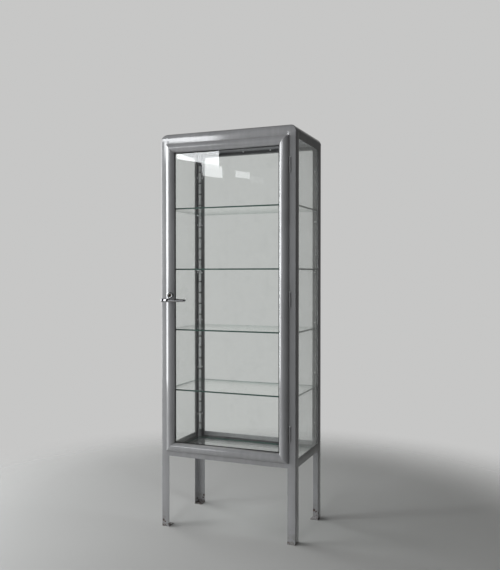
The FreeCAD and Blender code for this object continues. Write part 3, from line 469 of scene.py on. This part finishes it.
def lathe(mesh_bm, profile, centre, turns, axis):
    """Turns a profile of (radius, along) about an axis through centre. Radius 0 makes a pole."""
    rings = []
    for radius, along in profile:
        ring = []
        for step in range(turns if radius else 1):
            angle = 2 * math.pi * step / turns
            u, v = radius * math.cos(angle), radius * math.sin(angle)
            offset = {"x": (along, u, v), "y": (u, along, v), "z": (u, v, along)}[axis]
            ring.append(mesh_bm.verts.new(Vector(centre) + Vector(offset)))
        rings.append(ring)
    for ring, follow in zip(rings, rings[1:]):
        if len(ring) == 1:
            fan(mesh_bm, follow, ring[0])
        elif len(follow) == 1:
            fan(mesh_bm, ring, follow[0])
        else:
            bridge(mesh_bm, ring, follow)


def islands(node):
    """(low, high) corners of each separate solid of a CAD node."""
    mesh_bm = bmesh.new()
    mesh_bm.from_mesh(NODES[node].data)
    bmesh.ops.remove_doubles(mesh_bm, verts=mesh_bm.verts, dist=1e-6)
    unseen = set(mesh_bm.verts)
    found = []
    while unseen:
        queue = [unseen.pop()]
        group = []
        while queue:
            vert = queue.pop()
            group.append(vert.co.copy())
            for edge in vert.link_edges:
                other = edge.other_vert(vert)
                if other in unseen:
                    unseen.remove(other)
                    queue.append(other)
        low = Vector(min(p[i] for p in group) for i in range(3))
        high = Vector(max(p[i] for p in group) for i in range(3))
        found.append((low, high))
    mesh_bm.free()
    found.sort(key=lambda item: tuple(round(c, 4) for c in item[0]))
    return found


# ---------------------------------------------------------------- steel frame

# Radii of the bends and edges of the angle stock.
POST_HEEL, POST_LIP, POST_FILLET = 0.0022, 0.0003, 0.003
RAIL_HEEL, RAIL_FILLET = 0.0012, 0.002
SHEET_EDGE = 0.0009

ROLL_STEPS = 12
FLAT_STEPS = 4
CORNER_POWER = 6  # how squarely the rolls of the roof meet at its corners
SKIRT_GAP, SKIRT_LEAST = 0.0008, 0.0004

WELD_RADIUS = 0.0016
WELD_SUNK = 0.3  # share of the bead's radius between its middle and the sheet
WELD_LUMP = 0.0022
WELD_START = 0.004

HALF_ROUND_STEPS = 24


def make_posts():
    """Angle posts, their heels at the cabinet's corners."""
    radii = (POST_HEEL, POST_LIP, SHEET_EDGE, POST_FILLET, SHEET_EDGE, SHEET_EDGE)
    for side_name, side in (("left", 1), ("right", -1)):
        for end_name, inward in (("front", 1), ("rear", -1)):
            node = f"leg_{end_name}_{side_name}"
            low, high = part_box(node)
            x0 = low.x if side > 0 else high.x
            y0 = low.y if inward > 0 else high.y
            wide, deep = (high.x - low.x) * side, (high.y - low.y) * inward
            sheet_x, sheet_y = SHEET * side, SHEET * inward
            points = (
                (x0, y0), (x0 + wide, y0), (x0 + wide, y0 + sheet_y),
                (x0 + sheet_x, y0 + sheet_y), (x0 + sheet_x, y0 + deep), (x0, y0 + deep),
            )
            mesh_bm = bmesh.new()
            prism(mesh_bm, rounded(points, radii), low.z, high.z, lambda u, v, w: (u, v, w))
            piece_from(f"{node}_bar", mesh_bm, "cabinet", GREY_LEG, (node,))


def make_rails():
    """Angle rails: an upright flange with a level one at its foot."""
    for node, along, facing in (
        ("front_bottom_rail", "x", 1), ("rear_bottom_rail", "x", -1),
        ("left_bottom_rail", "y", 1), ("right_bottom_rail", "y", -1),
        ("front_top_rail", "x", 1),
    ):
        low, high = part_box(node)
        across = 1 if along == "x" else 0
        face = low[across] if facing > 0 else high[across]
        reach = (high[across] - low[across]) * facing
        sheet = SHEET * facing
        points = (
            (face, low.z), (face, high.z), (face + sheet, high.z),
            (face + sheet, low.z + SHEET), (face + reach, low.z + SHEET), (face + reach, low.z),
        )
        brow = 0.0 if node == "front_top_rail" else RAIL_HEEL
        radii = (RAIL_HEEL, brow, 0.0, RAIL_FILLET, SHEET_EDGE, SHEET_EDGE)
        put = (lambda u, v, w: (w, u, v)) if along == "x" else (lambda u, v, w: (u, w, v))
        start, stop = (low.x, high.x) if along == "x" else (low.y, high.y)
        mesh_bm = bmesh.new()
        prism(mesh_bm, rounded(points, radii), start, stop, put)
        piece_from(f"{node}_bar", mesh_bm, "cabinet", GREY, (node,))


def rolled(half, roll):
    """(place, fall) across a sheet of a given half width that rolls down at both ends."""
    turns = [math.radians(90 * k / ROLL_STEPS) for k in range(ROLL_STEPS + 1)]
    right = [(half - roll + roll * math.sin(t), roll * (1 - math.cos(t))) for t in turns]
    left = [(-place, fall) for place, fall in reversed(right)]
    flat = [((half - roll) * (k / FLAT_STEPS), 0.0) for k in range(1 - FLAT_STEPS, FLAT_STEPS)]
    return left + flat + right


def make_roof():
    """The pressed cap: a flat top that rolls down on four sides to a short upright skirt."""
    low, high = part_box("roof_cap")
    middle = (low + high) / 2
    half = (high - low) / 2
    brow = high.z - SIDE_ROLL
    mesh_bm = bmesh.new()
    rows = []
    for x, fall_x in rolled(half.x, SIDE_ROLL):
        row = []
        for y, fall_y in rolled(half.y, FRONT_ROLL):
            fall = (fall_x ** CORNER_POWER + fall_y ** CORNER_POWER) ** (1 / CORNER_POWER)
            row.append(mesh_bm.verts.new((middle.x + x, middle.y + y, max(high.z - fall, brow))))
        rows.append(row)
    for row, follow in zip(rows, rows[1:]):
        bridge(mesh_bm, row, follow, closed=False)
    rim = [row[0] for row in rows] + rows[-1][1:]
    rim += [row[-1] for row in reversed(rows[:-1])] + rows[0][-2:0:-1]
    for z in (brow - SKIRT_GAP, low.z):
        skirt = [
            mesh_bm.verts.new((v.co.x, v.co.y, min(z, v.co.z - SKIRT_LEAST))) for v in rim
        ]
        bridge(mesh_bm, rim, skirt)
        rim = skirt
    cap = piece_from(
        "roof_cap_pressing", mesh_bm, "cabinet", GREY, ("roof_cap",), sharp=60,
    )
    for edge in cap.data.edges:
        if all(cap.data.vertices[v].co.z < low.z + 1e-6 for v in edge.vertices):
            edge.use_edge_sharp = True
    thick = cap.modifiers.new("sheet", "SOLIDIFY")
    thick.thickness = CAP_SHEET
    thick.offset = -1


def make_welds():
    """Weld beads in the inner corners where the bottom rails meet the posts."""
    rail_low, rail_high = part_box("front_bottom_rail")
    side_rail_low, side_rail_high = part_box("left_bottom_rail")
    cabinet_low, cabinet_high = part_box("roof_cap")
    inset = SHEET + WELD_RADIUS * WELD_SUNK
    places = []
    for side in (-1, 1):
        for y in (cabinet_low.y + inset, cabinet_high.y - inset):
            places.append((side * rail_high.x, y))
        for y in (side_rail_low.y, side_rail_high.y):
            places.append((side * (cabinet_high.x - inset), y))
    foot = rail_low.z + WELD_START
    length = rail_high.z - foot
    lumps = int(length / WELD_LUMP)
    profile = [(0, 0.0)]
    for index in range(lumps):
        # lumps of uneven size, with a waist at every other point
        swell = (0.82 + 0.18 * math.sin(index * 2.6)) * (1 if index % 2 else 0.78)
        profile.append((WELD_RADIUS * swell, (index + 0.5) * length / lumps))
    profile.append((0, length))
    mesh_bm = bmesh.new()
    for x, y in places:
        lathe(mesh_bm, profile, (x, y, foot), turns=10, axis="z")
    piece_from("rail_weld_beads", mesh_bm, "cabinet", GREY, sharp=80)


def half_round(radius, inset):
    """(across, depth) points of a half-round section, at an inset from the outer one."""
    inner = radius - inset
    start = math.asin(inset / inner)
    sweep = math.pi - 2 * start
    turns = [start + sweep * k / HALF_ROUND_STEPS for k in range(HALF_ROUND_STEPS + 1)]
    return [(-inner * math.cos(turn), -inner * math.sin(turn)) for turn in turns]


def make_door_frame():
    """Half-round hollow members, mitred at the corners."""
    low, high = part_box("door_stile_left")
    radius = (high.x - low.x) / 2
    left, right = low.x + radius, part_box("door_stile_right")[0].x + radius
    bottom, top = low.z + radius, high.z - radius
    for node, upright, centre, sign in (
        ("door_stile_left", True, left, 1), ("door_stile_right", True, right, -1),
        ("door_rail_bottom", False, bottom, 1), ("door_rail_top", False, top, -1),
    ):
        ends = ((bottom, -1), (top, 1)) if upright else ((left, -1), (right, 1))
        mesh_bm = bmesh.new()
        shells = []
        for inset in (0.0, MEMBER_SHEET):
            rows = []
            for end, outward in ends:
                row = []
                for across, depth in half_round(radius, inset):
                    # the mitre: the member is longer towards the door's outer edge
                    along = end - outward * across * sign
                    aside, y = centre + across, high.y + depth
                    row.append(mesh_bm.verts.new(
                        (aside, y, along) if upright else (along, y, aside)
                    ))
                rows.append(row)
            bridge(mesh_bm, *rows)
            shells.append(rows)
        for outer, inner in zip(*shells):
            bridge(mesh_bm, outer, inner)
        piece_from(f"{node}_member", mesh_bm, "door", GREY, (node,), sharp=50)


# ---------------------------------------------------------------- lever and lock

# The lever's outline, from the knob over the boss to the nose. A neck is a radius and its share
# of the tail, the arm tapers by its share of the length, and turns are in degrees.
ARM_SETBACK = 0.0105
KNOB, KNOB_TURNS = 0.0078, (22, 45, 67, 90, 115)
NECKS = ((0.0056, 0.58), (0.0064, 0.42), (0.0079, 0.22))
SHOULDER = (0.0080, 0.010)
ARM_RADIUS, ARM_TAPER, ARM_SHARES = 0.0084, 0.0037, (0.25, 0.35, 0.5, 0.65, 0.8, 0.9)
NOSE, NOSE_TURNS = 0.0048, (18, 40, 63, 81)
# The boss over the spindle: radii, and how far behind the lever's front or before its back.
BOSS_FRONT = (
    (0, 0.0), (0.0030, 0.0002), (0.0056, 0.0012), (0.0074, 0.0034),
    (0.0079, 0.007), (0.0079, 0.016), (0.0066, 0.021),
)
BOSS_BACK = ((0.0064, 0.003), (0.0076, 0.0012), (0.0076, 0.0), (0, 0.0))
CAST_GRAIN = 0.0005

# The rosette: how far in from its outer radius or out from its bore, and how far behind its face.
ROSETTE_SIDE = ((0.0, 0.0045), (0.0001, 0.0030))
ROSETTE_BACK_INSET = 0.0002
RIM_INSET, RIM_ROLL = 0.0022, 0.0020
ROSETTE_WELL = (0.0046, 0.0030)
PLUG_RING = ((0.0016, 0.0034), (0.0010, 0.0022), (0.0003, 0.0020), (0.0, 0.0024))

COLLAR_ROUND, COLLAR_SIDE, COLLAR_BREAK = 0.0015, 0.0016, 0.0004


def make_lever():
    """Cast lever: a knob, a boss over the spindle and a long tapering arm, blended together."""
    low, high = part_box("lever")
    spindle_low, spindle_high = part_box("lever_spindle")
    hub = (spindle_low + spindle_high) / 2
    tail, length = low.x - hub.x, high.x - hub.x
    profile = [(0, tail)]
    for turn in map(math.radians, KNOB_TURNS):
        profile.append((KNOB * math.sin(turn), tail + KNOB * (1 - math.cos(turn))))
    profile += [(radius, tail * share) for radius, share in NECKS] + [SHOULDER]
    profile += [(ARM_RADIUS - ARM_TAPER * share, length * share) for share in ARM_SHARES]
    for turn in map(math.radians, NOSE_TURNS):
        profile.append((NOSE * math.cos(turn), length - NOSE + NOSE * math.sin(turn)))
    profile.append((0, length))
    mesh_bm = bmesh.new()
    lathe(mesh_bm, profile, (hub.x, low.y + ARM_SETBACK, hub.z), turns=28, axis="x")
    boss = [(radius, low.y + behind) for radius, behind in BOSS_FRONT]
    boss += [(radius, high.y - before) for radius, before in BOSS_BACK]
    lathe(mesh_bm, boss, (hub.x, 0, hub.z), turns=36, axis="y")
    lever = piece_from(
        "lever_casting", mesh_bm, "handle", CHROME_LEVER, ("lever",), sharp=180,
    )
    remesh = lever.modifiers.new("blend", "REMESH")
    remesh.mode = "VOXEL"
    remesh.voxel_size = CAST_GRAIN
    remesh.use_smooth_shade = True
    smooth = lever.modifiers.new("polish", "SMOOTH")
    smooth.factor = 0.5
    smooth.iterations = 4


def turned_ring(name, node, profile, turns):
    """A chrome ring of the door, turned about the middle of its CAD node."""
    low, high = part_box(node)
    centre = (low + high) / 2
    mesh_bm = bmesh.new()
    lathe(mesh_bm, profile + [profile[0]], (centre.x, 0, centre.z), turns, axis="y")
    piece_from(name, mesh_bm, "door", CHROME, (node,), sharp=40)


def make_rosette():
    """Turned rosette with a rolled rim and a raised ring round the lock plug."""
    low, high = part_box("lock_rosette")
    outer, face = (high.x - low.x) / 2, low.y
    plug_low, plug_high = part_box("lock_plug")
    bore = (plug_high.x - plug_low.x) / 2 + CLEARANCE
    profile = [(outer - ROSETTE_BACK_INSET, high.y)]
    profile += [(outer - inset, face + behind) for inset, behind in ROSETTE_SIDE]
    profile += arc((outer - RIM_INSET, face + RIM_ROLL), RIM_ROLL, 20, -200, 10)
    profile.append((outer - ROSETTE_WELL[0], face + ROSETTE_WELL[1]))
    profile += [(bore + away, face + behind) for away, behind in PLUG_RING]
    profile.append((bore, high.y))
    turned_ring("lock_rosette_ring", "lock_rosette", profile, turns=64)


def make_collar():
    """The collar behind the lever."""
    low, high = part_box("handle_collar")
    outer, face = (high.x - low.x) / 2, low.y
    spindle_low, spindle_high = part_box("lever_spindle")
    bore = (spindle_high.x - spindle_low.x) / 2 + CLEARANCE
    profile = [(outer, high.y), (outer, face + COLLAR_SIDE)]
    profile += arc((outer - COLLAR_ROUND, face + COLLAR_ROUND), COLLAR_ROUND, 0, -90, 6)
    profile += [(bore + COLLAR_BREAK, face), (bore, face + COLLAR_BREAK), (bore, high.y)]
    turned_ring("handle_collar_ring", "handle_collar", profile, turns=48)


# ---------------------------------------------------------------- screws

HEAD_HEIGHT = 0.52  # share of the head's radius
SLOT_HALF = 0.16  # share of the head's radius
SLOT_DEPTH = 0.5  # share of the head's height
SLOT_TURN = 2.4  # from one screw to the next
HEAD_TURNS, HEAD_RINGS = 24, 6


def dome_head(mesh_bm, centre, out, radius, turn):
    """A slotted dome head. centre is under the head, and turn sets the slot's direction."""
    side = out.cross(Vector((0, 0, 1))).normalized()
    up = side.cross(out)
    along = side * math.cos(turn) + up * math.sin(turn)
    across = out.cross(along)
    height = radius * HEAD_HEIGHT
    slot_half, slot_depth = radius * SLOT_HALF, height * SLOT_DEPTH
    rows = []
    for ring in range(HEAD_RINGS):
        climb = math.pi / 2 * ring / HEAD_RINGS
        reach, level = radius * math.cos(climb), height * math.sin(climb)
        row = []
        for step in range(HEAD_TURNS):
            angle = 2 * math.pi * step / HEAD_TURNS
            u, v = reach * math.cos(angle), reach * math.sin(angle)
            sunk = slot_depth if abs(v) < slot_half else 0.0
            lift = out * max(level - sunk, 0.0)
            row.append(mesh_bm.verts.new(centre + along * u + across * v + lift))
        rows.append(row)
    for row, follow in zip(rows, rows[1:]):
        bridge(mesh_bm, row, follow)
    fan(mesh_bm, rows[-1], mesh_bm.verts.new(centre + out * (height - slot_depth)))
    fan(mesh_bm, rows[0], mesh_bm.verts.new(centre))


def make_screws(node, body, material):
    """Dome heads where the CAD screws have theirs, which face the cabinet's inside."""
    middle = (cad_box[0] + cad_box[1]) / 2
    mesh_bm = bmesh.new()
    for number, (low, high) in enumerate(islands(node)):
        size = high - low
        axis = min(range(3), key=lambda i: abs(size[(i + 1) % 3] - size[(i + 2) % 3]))
        foot = (low + high) / 2
        faces_up = body == "door" or foot[axis] < middle[axis]
        inward = 1 if faces_up else -1
        out = Vector((0, 0, 0))
        out[axis] = inward
        radius = size[(axis + 1) % 3] / 2
        foot[axis] = (high if faces_up else low)[axis] - radius * HEAD_HEIGHT * inward
        dome_head(mesh_bm, foot, out, radius, number * SLOT_TURN)
    piece_from(f"{node}_heads", mesh_bm, body, material, (node,), sharp=30)


# ---------------------------------------------------------------- carried CAD nodes

SHELVES = ("shelf_1", "shelf_2", "shelf_3", "shelf_4")
CORNERS = ("front_left", "front_right", "rear_left", "rear_right")
WALLS = ("rear", "left", "right")

# Nodes that show as they are: names, material and the width of their softened corners.
CARRIED = (
    (("door_glass",), GLASS_FRONT, 0.0006),
    (("rear_glass",), GLASS_REAR, 0.0006),
    (("left_glass", "right_glass"), GLASS_SIDE, 0.0006),
    (("floor_glass", *(f"{shelf}_glass" for shelf in SHELVES)), GLASS_LEVEL, 0.0008),
    (("foot_plates",), GREY_LEG, 0.0008),
    (tuple(f"{wall}_top_rail" for wall in WALLS), GREY, 0.0006),
    # painted shade: the glazing beads are black for the shade that falls in the inner corners
    (tuple(f"{wall}_glazing_beads" for wall in (*WALLS, "door")), BEAD_SHADE_ENAMEL, 0.0005),
    (("hinge_frame_leaves", "hinge_door_leaves"), GREY, 0.0002),
    (("door_gasket",), RUBBER, 0.0004),
    (("door_buffers",), RUBBER, 0.0008),
    (tuple(f"shelf_standard_{corner}" for corner in CORNERS), STRIP, 0.0003),
    (tuple(f"{shelf}_clips" for shelf in SHELVES), ZINC, 0.0004),
    (("hinge_pins", "lever_spindle", "latch_cam", "cam_screw"), ZINC, 0.0002),
    (("lock_case", "lock_tail"), ZINC, 0.0002),
    # painted shade: the plug's brass is darkened for the shade in the rosette's well
    (("lock_plug",), BRASS, 0.0002),
)


def dress():
    """Gives the carried nodes their materials and softened corners."""
    for names, material, width in CARRIED:
        for name in names:
            node = NODES[name]
            node.data.materials.clear()
            node.data.materials.append(material)
            bevel(node, width)


# ---------------------------------------------------------------- studio

CAMERA_PLACE = (1.17155, -2.77191, 1.07114)
CAMERA_TURN, CAMERA_PITCH = 0.38556, 0.01403
CAMERA_LENS, CAMERA_SENSOR = 44.29, 36

FAR_WALL = -3.5
FAR_TILT = math.radians(4.4)
# The panes of a far window: name, Y, Z, size and watts.
FAR_PANES = (
    ("far_window", -6.53, 3.10, (2.35, 0.75), 42),
    ("far_window_low", -7.47, 2.70, (0.75, 0.19), 1.7),
    ("far_window_end", -8.70, 2.80, (0.64, 0.11), 0.6),
)
STRIP_LEVEL = 0.95


def make_camera():
    """The photographer's place: right of the front, at chest height."""
    ahead = Vector((-math.sin(CAMERA_TURN), math.cos(CAMERA_TURN), 0))
    sky = Vector((0, 0, 1))
    right = Vector((math.cos(CAMERA_TURN), math.sin(CAMERA_TURN), 0))
    up = ahead * math.sin(CAMERA_PITCH) + sky * math.cos(CAMERA_PITCH)
    forward = ahead * math.cos(CAMERA_PITCH) - sky * math.sin(CAMERA_PITCH)
    data = bpy.data.cameras.new("camera")
    data.lens = CAMERA_LENS
    data.sensor_width = CAMERA_SENSOR
    camera = bpy.data.objects.new("camera", data)
    turned = Matrix((right, up, -forward)).transposed().to_4x4()
    camera.matrix_world = Matrix.Translation(CAMERA_PLACE) @ turned
    bpy.context.scene.collection.objects.link(camera)
    bpy.context.scene.camera = camera


def soft_light(name, place, aim, size, power, colour=DAYLIGHT, tilt=0.0, in_gloss=True):
    """A rectangular lamp that the camera doesn't see."""
    data = bpy.data.lights.new(name, "AREA")
    data.shape = "RECTANGLE"
    data.size, data.size_y = size
    data.energy = power
    data.color = colour
    lamp = bpy.data.objects.new(name, data)
    towards = (Vector(aim) - Vector(place)).to_track_quat("-Z", "Y")
    lamp.rotation_mode = "QUATERNION"
    lamp.rotation_quaternion = towards @ Matrix.Rotation(tilt, 4, "Z").to_quaternion()
    lamp.location = place
    lamp.visible_camera = False
    lamp.visible_glossy = in_gloss
    bpy.context.scene.collection.objects.link(lamp)


def make_lights():
    # the tall window beside the cabinet
    soft_light("window_left", (-2.9, -0.2, 1.45), (0, 0.0, 1.2), (3.6, 2.6), 112)
    soft_light("window_front_left", (-3.0, -2.0, 1.9), (0, -0.1, 0.9), (1.6, 1.8), 30)
    # the light of the room before it
    soft_light("room_front", (0.0, -4.6, 1.5), (0, 0, 0.95), (0.9, 2.4), 66, in_gloss=False)
    # the far window, which mirrors in the door glass and on the fascia
    for name, y, z, size, power in FAR_PANES:
        soft_light(name, (FAR_WALL, y, z), (0, y, z), size, power, tilt=FAR_TILT)
    # strips that reach the notched standards past the door frame
    for x, aim_x, power in ((0.16, -0.30, 2.4), (-0.16, 0.30, 3.0)):
        place, aim = (x, -0.08, STRIP_LEVEL), (aim_x, 0.20, STRIP_LEVEL)
        soft_light("corner_fill", place, aim, (0.05, 1.2), power, in_gloss=False)
    soft_light(
        "overhead", (0.0, -0.6, 4.2), (0, 0, 0), (3.0, 2.4), 24, (1, 1, 1), in_gloss=False,
    )


def make_world():
    """A pale backdrop for the eye, and a room that is light on the left and dark on the right."""
    world = bpy.data.worlds.new("studio")
    bpy.context.scene.world = world
    world.use_nodes = True
    tree = world.node_tree
    tree.nodes.clear()
    add, link = tree.nodes.new, tree.links.new
    coordinates = add("ShaderNodeTexCoord").outputs["Generated"]
    direction = add("ShaderNodeSeparateXYZ")
    link(coordinates, direction.inputs[0])
    east, north, height = direction.outputs

    def ramp(value, low, high, start, stop):
        node = add("ShaderNodeMapRange")
        node.interpolation_type = "SMOOTHSTEP"
        link(value, node.inputs[0])
        for socket, number in zip(node.inputs[1:5], (low, high, start, stop)):
            socket.default_value = number
        return node.outputs[0]

    def combine(operation, first, second):
        node = add("ShaderNodeMath")
        node.operation = operation
        link(first, node.inputs[0])
        link(second, node.inputs[1])
        return node.outputs[0]

    def towards(x, y, z):
        node = add("ShaderNodeVectorMath")
        node.operation = "DOT_PRODUCT"
        link(coordinates, node.inputs[0])
        node.inputs[1].default_value = (x, y, z)
        return node.outputs["Value"]

    # what lights the cabinet: daylight from the left and front, a darker right
    soft = ramp(towards(-0.75, -0.66, 0.0), -0.2, 1.0, 0.05, 1.0)
    soft = combine("MULTIPLY", soft, ramp(height, -0.1, 0.75, 1.0, 0.30))
    # what its gloss mirrors: bright on the left and behind, dark in front and above
    side = ramp(towards(-1.0, 0.0, 0.0), 0.15, 0.85, 0.06, 0.75)
    behind = ramp(north, 0.55, 0.85, 0.0, 1.0)
    wall = combine("MULTIPLY", behind, ramp(east, 0.22, -0.02, 0.15, 1.0))
    mirrored = combine("MAXIMUM", side, wall)
    mirrored = combine("MULTIPLY", mirrored, ramp(height, 0.12, 0.50, 1.0, 0.10))

    rays = add("ShaderNodeLightPath")
    strength = add("ShaderNodeMix")
    link(rays.outputs["Is Glossy Ray"], strength.inputs[0])
    link(soft, strength.inputs[2])
    link(mirrored, strength.inputs[3])
    room, backdrop = add("ShaderNodeBackground"), add("ShaderNodeBackground")
    link(strength.outputs[0], room.inputs["Strength"])
    room.inputs["Color"].default_value = (*ROOM, 1)
    backdrop.inputs["Color"].default_value = (*BACKDROP, 1)
    chosen = add("ShaderNodeMixShader")
    link(rays.outputs["Is Camera Ray"], chosen.inputs["Fac"])
    link(room.outputs[0], chosen.inputs[1])
    link(backdrop.outputs[0], chosen.inputs[2])
    link(chosen.outputs[0], add("ShaderNodeOutputWorld").inputs["Surface"])


def make_floor():
    """A pale disc, in rings that get wider outwards."""
    mesh_bm = bmesh.new()
    rings = [(radius, 0) for radius in (0, 0.5, 1.5, 3.0, 6.0)]
    lathe(mesh_bm, rings, (0, 0, 0), turns=64, axis="z")
    object_from("studio_floor", mesh_bm, pale_floor("studio_floor"))


make_camera()
make_lights()
make_world()
make_floor()
make_posts()
make_rails()
make_roof()
make_welds()
make_door_frame()
make_lever()
make_rosette()
make_collar()
make_screws("bead_screws", "cabinet", ZINC)
make_screws("standard_screws", "cabinet", ZINC)
make_screws("door_bead_screws", "door", ZINC)
dress()

scene = bpy.context.scene
scene.view_settings.view_transform = "Standard"
scene.cycles.transparent_max_bounces = 32
